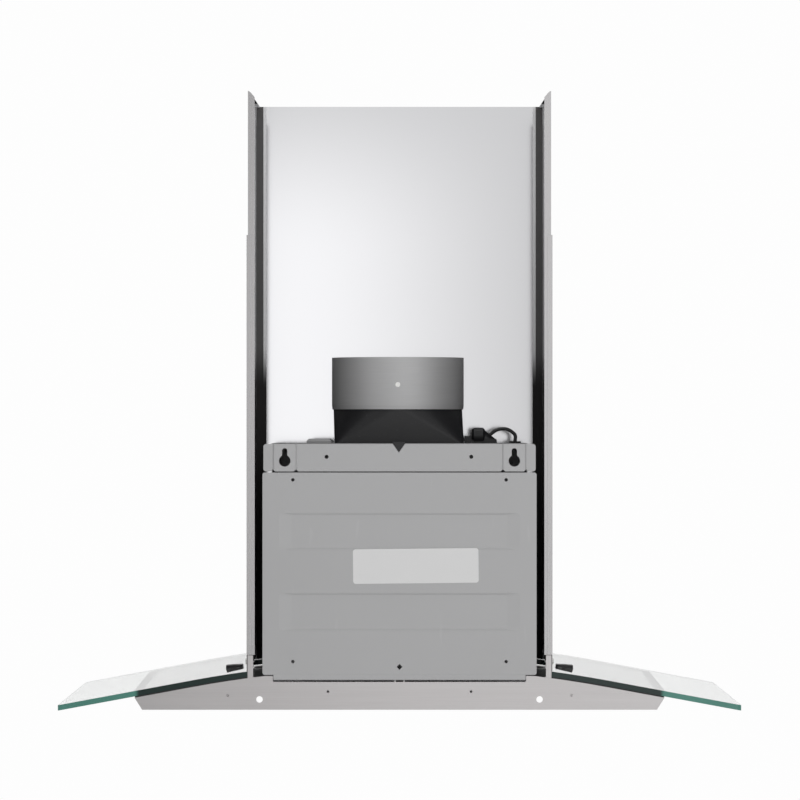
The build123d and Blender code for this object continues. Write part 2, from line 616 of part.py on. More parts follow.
def volute(inset, x0, x1, top):
    """Three quarter arcs of growing radius round the shaft, run on into the upward outlet."""
    half = VOLUTE_STEP / 2
    radius_a = VOLUTE_R - inset
    radius_b = radius_a + VOLUTE_STEP
    radius_c = radius_b + VOLUTE_STEP
    centre_a = (SHAFT_Y + half, SHAFT_Z - half)
    centre_b = (SHAFT_Y - half, SHAFT_Z - half)
    centre_c = (SHAFT_Y - half, SHAFT_Z + half)
    rear = OUTLET_REAR - inset
    cut_z = centre_a[1] + math.sqrt(radius_a**2 - (rear - centre_a[0]) ** 2)
    rear_most = centre_a[0] + radius_a
    front = centre_c[0] - radius_c
    edges = [
        Line((rear, top), (rear, cut_z)),
        arc_between(centre_a, radius_a, (rear, cut_z), (rear_most, centre_a[1])),
        arc_between(centre_b, radius_b, (rear_most, centre_b[1]), (centre_b[0], centre_b[1] - radius_b)),
        arc_between(centre_c, radius_c, (centre_c[0], centre_c[1] - radius_c), (front, centre_c[1])),
        Line((front, centre_c[1]), (front, top)),
        Line((front, top), (rear, top)),
    ]
    face = Plane.YZ * make_face(edges)
    return Pos(x0, 0, 0) * extrude(face, amount=x1 - x0, dir=(1, 0, 0))


def arc_between(centre, radius, start, end):
    """The shorter arc about a centre from one point to another."""
    middle = Vector(*start) + Vector(*end) - Vector(*centre) * 2
    middle = Vector(*centre) + middle.normalized() * radius
    return ThreePointArc(start, (middle.X, middle.Y), end)


def blower_scroll():
    """Volute casing with a round inlet in each side and an open outlet at the top."""
    top = BOX_TOP_Z - PANEL_T - 0.1
    casing = volute(0, -SCROLL_HALF, SCROLL_HALF, top)
    casing -= volute(SCROLL_T, -SCROLL_HALF + SCROLL_T, SCROLL_HALF - SCROLL_T, top + 5)
    casing -= rod((-100, SHAFT_Y, SHAFT_Z), (1, 0, 0), INLET_R, 200)
    return casing


def inlet_rings():
    """Rolled rings that lead the air into the wheel on both sides."""
    ring = rod((SCROLL_HALF + 0.05, SHAFT_Y, SHAFT_Z), (1, 0, 0), INLET_R + 8, 2.5)
    ring -= rod((SCROLL_HALF - 5, SHAFT_Y, SHAFT_Z), (1, 0, 0), INLET_R, 20)
    rims = ring.edges().filter_by(GeomType.CIRCLE).sort_by(SortBy.RADIUS)[:2]
    return Compound(pair(fillet(rims, 0.8)))


def impeller():
    """Wheel with a middle disc, a ring at each end and forward-curved blades between them."""
    centre = Plane(origin=(0, SHAFT_Y, SHAFT_Z), z_dir=(1, 0, 0))
    both = (Align.CENTER, Align.CENTER, Align.CENTER)
    wheel = Cylinder(WHEEL_R - 1, 2, align=both) + Cylinder(13, 16, align=both)
    for z in (-WHEEL_HALF + 1, WHEEL_HALF - 1):
        ring = Cylinder(WHEEL_R, 2, align=both) - Cylinder(WHEEL_R - 13, 4, align=both)
        wheel += Pos(0, 0, z) * ring
    blade = Pos(WHEEL_R - 7, 0, 0) * Rot(0, 0, 24) * Box(12.5, 1.2, 2 * WHEEL_HALF - 1)
    wheel += [Rot(0, 0, 360 / BLADES * n) * blade for n in range(BLADES)]
    wheel -= Cylinder(SHAFT_R, 40, align=both)
    return centre * wheel


def motor_shaft():
    """Steel shaft, fixed in the wheel's hub and free in the motor."""
    return rod((-12, SHAFT_Y, SHAFT_Z), (1, 0, 0), SHAFT_R, 72)


def blower_motor():
    """Enclosed motor that reaches into the wheel, with a bearing boss on its nose."""
    body = rod((16, SHAFT_Y, SHAFT_Z), (1, 0, 0), 45, 56)
    body = fillet(body.edges(), 5)
    body += rod((11, SHAFT_Y, SHAFT_Z), (1, 0, 0), 11, 8)
    body += rod((72, SHAFT_Y, SHAFT_Z), (1, 0, 0), 16, 5)
    body -= rod((0, SHAFT_Y, SHAFT_Z), (1, 0, 0), SHAFT_R + 0.06, 62)
    return body


def motor_mount():
    """Ring and three arms that carry the motor in the right inlet."""
    x = SCROLL_HALF + 2.7
    mount = tube((x, SHAFT_Y, SHAFT_Z), (1, 0, 0), INLET_R + 8, INLET_R + 2, 2)
    mount += tube((x, SHAFT_Y, SHAFT_Z), (1, 0, 0), 49, 45.1, 5)
    arm = Pos(x + 1, 0, 54) * Box(2, 12, 12)
    for turn in THIRDS:
        mount += Pos(0, SHAFT_Y, SHAFT_Z) * Rot(turn, 0, 0) * arm
        mount -= Pos(0, SHAFT_Y, SHAFT_Z) * Rot(turn, 0, 0) * rod((x - 2, 0, 62.8), (1, 0, 0), 1.7, 8)
    return mount


def motor_mount_screws():
    """Three screws through the mount's ring, the inlet ring and the casing's side."""
    screw = pan_screw((SCROLL_HALF + 4.75, 0, 62.8), (-1, 0, 0), 1.5, 4, 3.0, 1.8)
    turned = [Pos(0, SHAFT_Y, SHAFT_Z) * Rot(turn, 0, 0) * screw for turn in THIRDS]
    return Compound(turned)


def drill_screw_holes(piece):
    """Clearance holes for the three motor mount screws."""
    for turn in THIRDS:
        hole = rod((SCROLL_HALF - 4, 0, 62.8), (1, 0, 0), 1.6, 8)
        piece -= Pos(0, SHAFT_Y, SHAFT_Z) * Rot(turn, 0, 0) * hole
    return piece


def capacitor():
    """Run capacitor with a stepped cap and two blade terminals."""
    x, y = CAPACITOR_X, CAPACITOR_Y
    can = rod((x, y, 70), (0, 0, 1), 15, 52)
    can = fillet(can.edges(), 1.5)
    can += rod((x, y, 122), (0, 0, 1), 11, 4)
    for side in (-1, 1):
        can += block(x + side * 5 - 0.4, x + side * 5 + 0.4, y - 3, y + 3, 126, 133)
    return can


def capacitor_clip():
    """Band round the capacitor with a foot on the box's side."""
    x, y = CAPACITOR_X, CAPACITOR_Y
    clip = tube((x, y, 92), (0, 0, 1), 16.2, 15.05, 12)
    wall = -BOX_HALF + PANEL_T + 0.05
    clip += block(wall, wall + 1.2, y - 22, y + 22, 92, 104)
    clip += block(wall, x - 15.5, y - 5, y + 5, 92, 104) - rod((x, y, 80), (0, 0, 1), 15.05, 40)
    return clip


def square_to_round(base_half, corner_r, round_r, z0, z1):
    """Loft from a rounded square to a circle: four nearly flat triangles with cones between them."""
    flat = base_half - corner_r
    base, top = [], []
    for turn in range(0, 360, 90):
        line = Line((base_half, -flat), (base_half, flat))
        corner = CenterArc((flat, flat), corner_r, 0, 90)
        base += [Rot(0, 0, turn) * line, Rot(0, 0, turn) * corner]
        top.append(CenterArc((0, 0), round_r, turn - SIDE_ARC, 2 * SIDE_ARC))
        top.append(CenterArc((0, 0), round_r, turn + SIDE_ARC, 90 - 2 * SIDE_ARC))
    square = Pos(ADAPTER_X, DUCT_Y, z0) * make_face(base)
    circle = Pos(DUCT_X, DUCT_Y, z1) * make_face(top)
    return loft([square, circle], ruled=True)


def locating_tongue(z0):
    """Tongue over the box's top whose tip fills the notch in the hanging bracket."""
    rear = -1.8
    tongue = block(NOTCH_X - 7, NOTCH_X + 7, rear, DUCT_Y + ADAPTER_HALF - 3, z0, z0 + 1.5)
    key = Plane.XZ * make_face(Polyline((-7, 1), (7, 1), (0, -9.0), close=True))
    return tongue + Pos(NOTCH_X, 0, BRACKET_Z1) * slab(key, rear, BOX_REAR + 0.3)


def transition_adapter():
    """Moulded square-to-round piece with a round spigot for the collar and a tongue to the rear."""
    z0 = BOX_TOP_Z + 0.05
    piece = square_to_round(ADAPTER_HALF, 5, COLLAR_R - 1.8, z0, COLLAR_Z0)
    piece += rod((DUCT_X, DUCT_Y, COLLAR_Z0), (0, 0, 1), COLLAR_R - 1.1, SPIGOT_Z - COLLAR_Z0)
    passage = square_to_round(ADAPTER_HALF - 5.5, 5, COLLAR_R - 4.5, z0, COLLAR_Z0)
    passage += rod((DUCT_X, DUCT_Y, COLLAR_Z0), (0, 0, 1), COLLAR_R - 4.5, 60)
    piece -= passage
    for turn in THIRDS:
        piece -= Pos(DUCT_X, DUCT_Y, COLLAR_SCREW_Z) * Rot(0, 0, turn) * collar_screw_hole(0.1)
    return piece + locating_tongue(z0)


def collar_screw(grow):
    """Countersunk screw that ends flush with the collar's outside."""
    seat = Plane(origin=(0, COLLAR_R - 1.35, 0), z_dir=(0, 1, 0))
    head = seat * Cone(COLLAR_SCREW_R - 1.3 + grow, COLLAR_SCREW_R + grow, 1.3, align=FOOT)
    return head + rod((0, COLLAR_R - 9, 0), (0, 1, 0), 1.2 + grow / 4, 8)


def collar_screw_hole(grow):
    """Countersunk hole for a collar screw, open right through the collar."""
    mouth = rod((0, COLLAR_R - 0.05, 0), (0, 1, 0), COLLAR_SCREW_R + grow, 3)
    return collar_screw(grow) + mouth


def duct_collar():
    """Metal ring for a 150 mm duct, with a slightly drawn-in lower edge."""
    edge_z = COLLAR_Z0 + COLLAR_EDGE
    wall = rod((DUCT_X, DUCT_Y, edge_z), (0, 0, 1), COLLAR_R, COLLAR_Z1 - edge_z)
    lower = Cone(COLLAR_R - 0.5, COLLAR_R, COLLAR_EDGE - 0.2, align=FOOT)
    ring = wall + Pos(DUCT_X, DUCT_Y, COLLAR_Z0 + 0.2) * lower
    ring -= rod((DUCT_X, DUCT_Y, COLLAR_Z0 - 1), (0, 0, 1), COLLAR_R - 1.0, 80)
    for turn in THIRDS:
        ring -= Pos(DUCT_X, DUCT_Y, COLLAR_SCREW_Z) * Rot(0, 0, turn) * collar_screw_hole(0.05)
    ring -= rod((-100, DUCT_Y, FLAP_PIN_Z), (1, 0, 0), FLAP_PIN_R + 0.02, 200)
    return ring


def collar_screws():
    """Three screws that hold the collar to the adapter."""
    screw = collar_screw(0)
    for turn in (0, 90):
        screw -= Pos(0, COLLAR_R, 0) * Rot(0, turn, 0) * Box(3.2, 1.6, 0.8)
    return Compound([Pos(DUCT_X, DUCT_Y, COLLAR_SCREW_Z) * Rot(0, 0, turn) * screw for turn in THIRDS])


def flap_pin():
    """Pin across the collar that both flaps swing on."""
    return rod((DUCT_X - COLLAR_R + 0.3, DUCT_Y, FLAP_PIN_Z), (1, 0, 0), FLAP_PIN_R, 2 * COLLAR_R - 0.6)


def damper_flap(side):
    """Half disc with two knuckles on the pin; the other flap's knuckles fit between them."""
    radius = COLLAR_R - 2.0
    plate_z = FLAP_PIN_Z - 3.1
    disc = rod((DUCT_X, DUCT_Y, plate_z), (0, 0, 1), radius, 1.2)
    half = block(-100, 100, DUCT_Y + side * 3.4, DUCT_Y + side * 100, plate_z - 5, plate_z + 5)
    flap = disc & half
    for x in (DUCT_X + side * 8 - 42, DUCT_X + side * 8 + 42):
        knuckle = tube((x - 7, DUCT_Y, FLAP_PIN_Z), (1, 0, 0), 3.0, FLAP_PIN_R + 0.06, 14)
        web = block(x - 7, x + 7, DUCT_Y, DUCT_Y + side * 6, plate_z, plate_z + 1.2)
        web -= rod((-100, DUCT_Y, FLAP_PIN_Z), (1, 0, 0), 2.5, 200)
        flap += knuckle + web
    return flap


def control_bezel():
    """Front plate of the controls with five button holes and a tray that passes the front wall."""
    z0, z1 = BUTTON_Z - 11, BUTTON_Z + 11
    front = -BODY_DEPTH
    plate = block(-70, 70, front - 0.1, front - 2.2, z0, z1)
    plate = fillet(plate.edges().filter_by(Axis.Y), 5)
    plate = chamfer(plate.faces().sort_by(Axis.Y)[0].edges(), 0.6)
    frame = block(-63.5, 63.5, front - 1, front + 8, z0 + 2.5, z1 - 2.5)
    frame -= block(-62, 62, front - 1, front + 9, z0 + 4, z1 - 4)
    bezel = plate + frame
    for x in BUTTON_X:
        bezel -= rod((x, front - 5, BUTTON_Z), (0, 1, 0), BUTTON_R + 0.3, 20)
    return bezel


def control_button(x):
    """Round push button with a dished face and a stem to its switch."""
    front = -BODY_DEPTH - 5.2
    cap = rod((x, front, BUTTON_Z), (0, 1, 0), BUTTON_R, 10.5)
    cap = fillet(cap.edges().sort_by(Axis.Y)[:1], 1.0)
    cap -= Pos(x, front - 22.4, BUTTON_Z) * Sphere(23)
    cap += rod((x, front + 10, BUTTON_Z), (0, 1, 0), 3, 5)
    return cap


def control_board():
    """Circuit board with one switch body behind each button and two relays."""
    y = -BODY_DEPTH + 19
    board = block(-68, 68, y, y + 1.6, BUTTON_Z - 9, BUTTON_Z + 9)
    for x in BUTTON_X:
        board += block(x - 4, x + 4, y - 3, y + 0.2, BUTTON_Z - 4, BUTTON_Z + 4)
    for x in (-38, 12):
        board += block(x - 9, x + 9, y + 1.5, y + 15, BUTTON_Z - 6, BUTTON_Z + 6)
    for x in (-62, 62):
        board -= rod((x, y - 2, BUTTON_Z), (0, 1, 0), 1.6, 6)
    return board


def lamp_frame():
    """Where a lamp sits on the sloping front of the tray, with its beam along the frame's -Z."""
    height = TRAY_FOOT_Z - TRAY_T + LAMP_SLOPE * (LAMP_Y - TRAY_FOOT_Y)
    tilt = math.degrees(math.atan(LAMP_SLOPE))
    return Location((LAMP_X, LAMP_Y, height)) * Location((0, 0, 0), (tilt, 0, 0))


def lamp_axis_rod(radius, start, length):
    """A cylinder along a lamp's axis."""
    return lamp_frame() * rod((0, 0, start), (0, 0, 1), radius, length)


def lamp_housing():
    """Spun lamp body with a flange that shows under the tray."""
    body = tube((0, 0, -1.4), (0, 0, 1), LAMP_R + 3, LAMP_R - 4.5, 1.3)
    body += tube((0, 0, -0.2), (0, 0, 1), LAMP_R - 2, LAMP_R - 4.5, 9.2)
    body += rod((0, 0, 8), (0, 0, 1), LAMP_R - 2, 1.2)
    body += rod((0, 0, 9), (0, 0, 1), 12, 4)
    return lamp_frame() * body


def lamp_lens():
    """Frosted glass disc in the mouth of the lamp."""
    lens = rod((0, 0, -1.0), (0, 0, 1), LAMP_R - 4.6, 2.4)
    return lamp_frame() * fillet(lens.edges(), 0.6)


def filter_frame():
    """Folded aluminium frame of a grease filter, with rear tabs and a latch slot in its front rail."""
    z0, z1 = TRAY_Z, TRAY_Z + FILTER_T
    frame = block(FILTER_X0, FILTER_X1, FILTER_Y0, FILTER_Y1, z0, z1)
    frame = chamfer(frame.faces().sort_by(Axis.Z)[0].edges(), 0.8)
    frame -= block(FILTER_X0 + 10, FILTER_X1 - 10, FILTER_Y0 - 10, FILTER_Y1 + 26, z0 - 1, z1 + 1)
    frame -= block(FILTER_X0 + 1, FILTER_X1 - 1, FILTER_Y0 - 1, FILTER_Y1 + 1, z0 + 1.2, z1 - 1.2)
    rail = block(FILTER_X0 + 10, FILTER_X1 - 10, FILTER_Y1 + 25, FILTER_Y1 + 26, z0, z1)
    frame += rail
    middle = filter_middle()
    frame -= block(middle - 14.5, middle + 14.5, FILTER_Y1 + 4.5, FILTER_Y1 + 21.5, z0 - 1, z0 + 1.5)
    frame -= block(middle - 11, middle + 11, FILTER_Y1 - 1, FILTER_Y1 + 1.5, z0 + 1.5, z0 + 3.9)
    for x in (FILTER_X0 + 34, FILTER_X1 - 34):
        frame += block(x - 8, x + 8, FILTER_Y0 - 0.9, FILTER_Y0 + 4.5, z0 + 2, z0 + 3)
    return frame


def filter_middle():
    """Where the middle of a filter lies across the hood."""
    return (FILTER_X0 + FILTER_X1) / 2


def filter_mesh():
    """Pack of expanded aluminium layers inside the frame, pressed to one sheet."""
    x0, x1 = FILTER_X0 + 1.3, FILTER_X1 - 1.3
    return block(x0, x1, FILTER_Y0 - 1.3, FILTER_Y1 + 26.2, TRAY_Z + 3.4, TRAY_Z + 4.9)


def filter_latch():
    """Sliding latch: a finger pull under the front rail and a tongue through its front face."""
    middle = filter_middle()
    z = TRAY_Z
    y = FILTER_Y1
    latch = block(middle - 14, middle + 14, y + 5, y + 17, z - 2.0, z + 1.0)
    latch = fillet(latch.faces().sort_by(Axis.Z)[0].edges(), 0.9)
    latch += block(middle - 14, middle + 14, y + 2, y + 20.5, z + 1.55, z + 2.2)
    latch += block(middle - 13, middle + 13, y + 6, y + 16, z + 0.9, z + 1.6)
    latch += block(middle - 10.5, middle + 10.5, y - 1.0, y + 12, z + 1.9, z + 3.6)
    return latch


def save(name, shape):
    """Write one node's STEP file."""
    export_step(shape, f"parts/{name}.step")


def save_pair(name, shape):
    """Write a piece on the right side and its mirror image on the left."""
    right, left = pair(shape)
    save(f"{name}_right", right)
    save(f"{name}_left", left)


def main():
    os.makedirs("parts", exist_ok=True)
    save("canopy_shell", canopy_shell())
    save("canopy_back_panel", canopy_back_panel())
    save("filter_tray", filter_tray())
    save("blower_deck", blower_deck())
    save("glass_canopy", glass_canopy())
    save("glass_gasket", glass_gasket())
    save("glass_clamp_right", glass_clamp(1))
    save("glass_clamp_left", glass_clamp(-1))
    save("glass_clamp_screws", glass_clamp_screws())
    save("chimney_bracket_right", chimney_bracket(1))
    save("chimney_bracket_left", chimney_bracket(-1))
    save("cover_screws", cover_screws())
    save("lower_chimney_cover", lower_chimney_cover())
    save("upper_chimney_cover", upper_chimney_cover())
    save("blower_box", blower_box())
    save("box_back_panel", box_back_panel())
    save("hanging_bracket", hanging_bracket())
    save("rating_label", rating_label())
    save("wiring_box", wiring_box())
    save("wiring_box_cover", wiring_box_cover())
    save("wiring_cover_screw", wiring_cover_screw())
    save("terminal_block", terminal_block())
    save("motor_connector", motor_connector())
    save("motor_lead", motor_lead())
    save("lead_grommet", lead_grommet())
    save("lead_clip", lead_clip())
    save("blower_scroll", drill_screw_holes(blower_scroll()))
    save("inlet_rings", drill_screw_holes(inlet_rings()))
    save("impeller", impeller())
    save("motor_shaft", motor_shaft())
    save("blower_motor", blower_motor())
    save("motor_mount", motor_mount())
    save("motor_mount_screws", motor_mount_screws())
    save("capacitor", capacitor())
    save("capacitor_clip", capacitor_clip())
    save("transition_adapter", transition_adapter())
    save("duct_collar", duct_collar())
    save("collar_screws", collar_screws())
    save("flap_pin", flap_pin())
    save("damper_flap_rear", damper_flap(1))
    save("damper_flap_front", damper_flap(-1))
    save("control_bezel", control_bezel())
    save("control_board", control_board())
    for name, x in zip(BUTTON_NAMES, BUTTON_X):
        save(f"button_{name}", control_button(x))
    save_pair("lamp_housing", lamp_housing())
    save_pair("lamp_lens", lamp_lens())
    save_pair("filter_frame", filter_frame())
    save_pair("filter_mesh", filter_mesh())
    save_pair("filter_latch", filter_latch())


main()
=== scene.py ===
import math

import bpy
import mathutils
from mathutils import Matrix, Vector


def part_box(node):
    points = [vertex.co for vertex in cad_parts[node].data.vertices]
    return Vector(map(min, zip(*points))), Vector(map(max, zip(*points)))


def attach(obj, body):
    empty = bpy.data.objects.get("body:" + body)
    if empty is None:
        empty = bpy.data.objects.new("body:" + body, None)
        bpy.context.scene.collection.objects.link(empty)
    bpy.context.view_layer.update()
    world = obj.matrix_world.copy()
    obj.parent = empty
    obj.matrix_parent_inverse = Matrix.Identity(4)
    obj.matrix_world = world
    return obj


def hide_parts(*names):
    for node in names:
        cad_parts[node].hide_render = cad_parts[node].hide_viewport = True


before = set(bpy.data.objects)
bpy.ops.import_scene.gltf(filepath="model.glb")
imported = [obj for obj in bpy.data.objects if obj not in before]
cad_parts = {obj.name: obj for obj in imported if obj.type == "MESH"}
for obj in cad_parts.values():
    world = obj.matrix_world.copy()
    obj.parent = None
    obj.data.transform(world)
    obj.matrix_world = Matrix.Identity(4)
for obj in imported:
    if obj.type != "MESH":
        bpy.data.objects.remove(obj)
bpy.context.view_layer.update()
print("frame loaded:", len(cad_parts), "nodes")


class Wire:
    # one socket of a material; sums written on it become Math nodes
    def __init__(self, tree, socket=None):
        self.tree = tree
        self.socket = socket

    def node(self, kind, settings=None, sockets=None, out=0):
        made = self.tree.nodes.new(kind)
        for name, value in (settings or {}).items():
            setattr(made, name, value)
        for name, value in (sockets or {}).items():
            if isinstance(value, Wire):
                self.tree.links.new(value.socket, made.inputs[name])
            else:
                made.inputs[name].default_value = value
        return self if out is None else Wire(self.tree, made.outputs[out])

    def beside(self, name):
        return Wire(self.tree, self.socket.node.outputs[name])

    def math(self, operation, first, second=0.0):
        return self.node("ShaderNodeMath", {"operation": operation}, {0: first, 1: second})

    def __add__(self, other):
        return self.math("ADD", self, other)

    def __radd__(self, other):
        return self.math("ADD", other, self)

    def __sub__(self, other):
        return self.math("SUBTRACT", self, other)

    def __rsub__(self, other):
        return self.math("SUBTRACT", other, self)

    def __mul__(self, other):
        return self.math("MULTIPLY", self, other)

    def __rmul__(self, other):
        return self.math("MULTIPLY", other, self)

    def __abs__(self):
        return self.math("ABSOLUTE", self)


def newFinish(name):
    finish = bpy.data.materials.new(name)
    finish.use_nodes = True
    finish.node_tree.nodes.clear()
    return finish, Wire(finish.node_tree)


def closeFinish(start, sockets, settings=None):
    shader = start.node("ShaderNodeBsdfPrincipled", settings, sockets)
    start.node("ShaderNodeOutputMaterial", {}, {"Surface": shader}, out=None)


def objectPlace(start):
    return start.node("ShaderNodeTexCoord", out="Object")


def noise(start, place, scale, detail=2.0, stretch=(1, 1, 1)):
    drawn = start.node("ShaderNodeMapping", {}, {"Vector": place, "Scale": stretch})
    return start.node("ShaderNodeTexNoise", {}, {"Vector": drawn, "Scale": scale, "Detail": detail})


def ramp(start, value, low, high):  # 0 below low, 1 above high, smooth between
    return start.node("ShaderNodeMapRange", {"interpolation_type": "SMOOTHSTEP"},
                      {"Value": value, "From Min": low, "From Max": high})


def mixed(start, factor, one, other):
    colours = [c if isinstance(c, Wire) else (*c, 1) for c in (one, other)]
    sockets = {0: factor, 6: colours[0], 7: colours[1]}
    return start.node("ShaderNodeMix", {"data_type": "RGBA"}, sockets, out=2)


def bump(start, height, strength, depth):
    return start.node("ShaderNodeBump", {}, {"Height": height, "Strength": strength, "Distance": depth})


def shade(colour, by):
    return tuple(c * by for c in colour)


def dress(finish, *nodes):
    for node in nodes:
        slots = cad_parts[node].data.materials
        slots.clear()
        slots.append(finish)


# brushed stainless sheet; grain runs along one axis
bodySteel = {"tone": (0.62, 0.60, 0.60), "rough": 0.29, "lines": 900, "drag": 0.012, "depth": 0.000015}


def brushedSteel(name, look, grain):
    finish, start = newFinish(name)
    place = objectPlace(start)
    stretch = {"x": (look["drag"], 1, 1), "y": (1, look["drag"], 1), "z": (1, 1, look["drag"])}[grain]
    streak = noise(start, place, look["lines"], 3, stretch)
    broad = noise(start, place, look["lines"] * 0.09, 2, stretch)
    smudge = noise(start, place, 7, 3)
    lines = streak * 0.6 + broad * 0.4
    tint = mixed(start, ramp(start, lines, 0.30, 0.70), shade(look["tone"], 0.97), shade(look["tone"], 1.03))
    closeFinish(start, {
        "Base Color": tint,
        "Metallic": 1.0,
        "Roughness": lines * 0.08 + ramp(start, smudge, 0.5, 0.8) * 0.04 + (look["rough"] - 0.04),
        "Normal": bump(start, lines, 0.25, look["depth"]),
    })
    return finish


dress(brushedSteel("brushed steel, sideways grain", bodySteel, "x"), "canopy_shell", "canopy_back_panel")
dress(brushedSteel("brushed steel, upright grain", bodySteel, "z"), "chimney_bracket_left",
      "chimney_bracket_right")
dress(brushedSteel("brushed steel, front to back grain", bodySteel, "y"), "filter_tray")


# chimney covers are brushed outside; inside, the front is a bright mirror with a dark strip along each edge
# that is a painted reflection and a pale line beside it that is a painted highlight, the side walls are
# painted near-black as painted shade, and the flanges and a strip beside the front are painted pale as
# painted highlights, all of it painted dark below a height as painted shade
# the inside colours below are painted light: near-black side walls as painted shade, pale flanges, a pale
# strip beside the front and a pale line along the front's edges as painted highlights, and a dark strip
# beside that line as a painted reflection
coverSteel = {"tone": (0.62, 0.60, 0.60), "rough": 0.27, "lines": 900, "drag": 0.012, "sheet": 0.0008,
              "flangeDepth": 0.0012, "rearSkin": 0.0004, "frontDepth": 0.002, "front": (0.74, 0.74, 0.755),
              "frontRough": 0.065, "side": (0.03, 0.029, 0.029), "sideRough": 0.85,
              "flange": (0.56, 0.55, 0.555), "hem": (0.93, 0.93, 0.94), "hemRough": 0.5,
              "corner": (0.05, 0.075), "paintedShadeBelow": (0.36, 0.41),
              "paintedDarkStrip": (0.1587, 0.1669), "paintedDarkStripTone": (0.115, 0.112, 0.112), "paintedPaleLine": (0.1552, 0.1587)}


def chimneySteel(name, look, node, flangeY):
    finish, start = newFinish(name)
    place = objectPlace(start)
    low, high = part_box(node)
    x, y, z = [start.node("ShaderNodeSeparateXYZ", {}, {"Vector": place}, out=axis) for axis in "XYZ"]
    within = start.math("LESS_THAN", abs(x), high.x - look["sheet"] / 2)
    within = within * start.math("GREATER_THAN", y, low.y + look["sheet"] / 2)
    within = within * start.math("LESS_THAN", y, flangeY - look["sheet"] / 2)
    rear = start.math("GREATER_THAN", y, flangeY - look["rearSkin"])
    # painted shade: the inside marks are lit only above this height and painted dark lower down
    lit = ramp(start, z, *look["paintedShadeBelow"])
    # painted highlight: the inner flanges painted pale
    hem = start.math("GREATER_THAN", y, flangeY - look["flangeDepth"]) * lit
    front = start.math("LESS_THAN", y, low.y + look["frontDepth"])
    # painted reflection and painted highlight: a dark strip and a pale line painted along each edge of the
    # inside front
    paintedDarkStrip, paintedPaleLine = [front * start.math("GREATER_THAN", abs(x), one) * start.math("LESS_THAN", abs(x), other)
                  for one, other in (look["paintedDarkStrip"], look["paintedPaleLine"])]
    # painted highlight: a pale strip painted on the side walls beside the front
    corner = (1 - ramp(start, y, low.y + look["corner"][0], low.y + look["corner"][1])) * lit
    bright = front - paintedDarkStrip - paintedPaleLine
    hem = start.math("MAXIMUM", hem, (1 - front) * corner + paintedPaleLine * lit)
    streak = noise(start, place, look["lines"], 3, (1, 1, look["drag"]))
    broad = noise(start, place, look["lines"] * 0.08, 2, (1, 1, look["drag"]))
    lines = streak * 0.6 + broad * 0.4
    brushed = ramp(start, lines, 0.35, 0.65)
    outside = mixed(start, brushed, shade(look["tone"], 0.93), shade(look["tone"], 1.05))
    outside = mixed(start, rear, outside, look["flange"])
    haze = noise(start, place, 5, 2)
    dullRough = hem * look["hemRough"] + (1 - hem) * look["sideRough"]
    insideRough = bright * look["frontRough"] + (1 - bright) * dullRough + haze * 0.02
    # painted shade: the inside of the side walls painted near-black, with the painted highlights laid over it
    paintedInside = mixed(start, hem, look["side"], look["hem"])
    # painted reflection: the dark strip laid over the inside colour
    paintedInside = mixed(start, paintedDarkStrip * lit, paintedInside, look["paintedDarkStripTone"])
    outsideRough = lines * 0.10 + (look["rough"] - 0.05)
    closeFinish(start, {
        "Base Color": mixed(start, within, outside, mixed(start, bright, paintedInside, look["front"])),
        "Metallic": 1 - within * (1 - bright),
        "Roughness": within * insideRough + (1 - within) * outsideRough,
        "Normal": bump(start, lines * (1 - within), 0.25, 0.00004),
    })
    return finish


dress(chimneySteel("lower cover steel", coverSteel, "lower_chimney_cover", -0.00005), "lower_chimney_cover")
dress(chimneySteel("upper cover steel", coverSteel, "upper_chimney_cover", -0.0013), "upper_chimney_cover")
print("steel sheet dressed")


# grey coated sheet of the blower box and its bracket; the box's top is painted dark as painted shade
boxGrey = {"tone": (0.54, 0.54, 0.545), "rough": 0.42, "peel": 650, "grime": 0.03}
# painted shade: the lid is the box's grey painted darker for the shade it sits in
lidGreyPaintedShade = {"tone": (0.39, 0.39, 0.395), "rough": 0.5, "peel": 650, "grime": 0.05}
boxTopPaintedShade = {"z": 0.2958, "tone": (0.13, 0.13, 0.13)}


def coatedSheet(name, look, turn, paintedShadeAboveZ=None):
    finish, start = newFinish(name)
    place = objectPlace(start)
    peel = noise(start, place, look["peel"], 2)
    rolled = noise(start, place, 260, 3, turn)
    cloud = noise(start, place, 11, 4)
    scuff = ramp(start, noise(start, place, 120, 5, (1, 1, 0.15)), 0.66, 0.74)
    tint = mixed(start, cloud, shade(look["tone"], 1 - look["grime"]), shade(look["tone"], 1 + look["grime"]))
    tint = mixed(start, scuff * 0.25, tint, shade(look["tone"], 1.15))
    # painted shade: faces above this height are painted dark
    if paintedShadeAboveZ:
        z = start.node("ShaderNodeSeparateXYZ", {}, {"Vector": place}, out="Z")
        tint = mixed(start, start.math("GREATER_THAN", z, paintedShadeAboveZ), tint, boxTopPaintedShade["tone"])
    closeFinish(start, {
        "Base Color": tint,
        "Metallic": 0.25,
        "Roughness": peel * 0.08 + cloud * 0.08 + rolled * 0.06 + (look["rough"] - 0.1),
        "Normal": bump(start, peel * 0.6 + rolled * 0.4, 0.12, 0.0001),
    })
    return finish


greyPaint = coatedSheet("grey coated sheet", boxGrey, (0.05, 1, 1))
dress(greyPaint, "box_back_panel", "hanging_bracket", "wiring_box", "blower_deck")
# the blower box gets the painted shade on its top
dress(coatedSheet("grey box sheet", boxGrey, (0.05, 1, 1), boxTopPaintedShade["z"]), "blower_box")
# painted shade: the lid gets the darker grey
dress(coatedSheet("grey lid painted in shade", lidGreyPaintedShade, (1, 0.05, 1)), "wiring_box_cover")


# galvanised sheet with its spangle
zincSheet = {"tone": (0.50, 0.50, 0.51), "rough": 0.34, "spangle": 140}


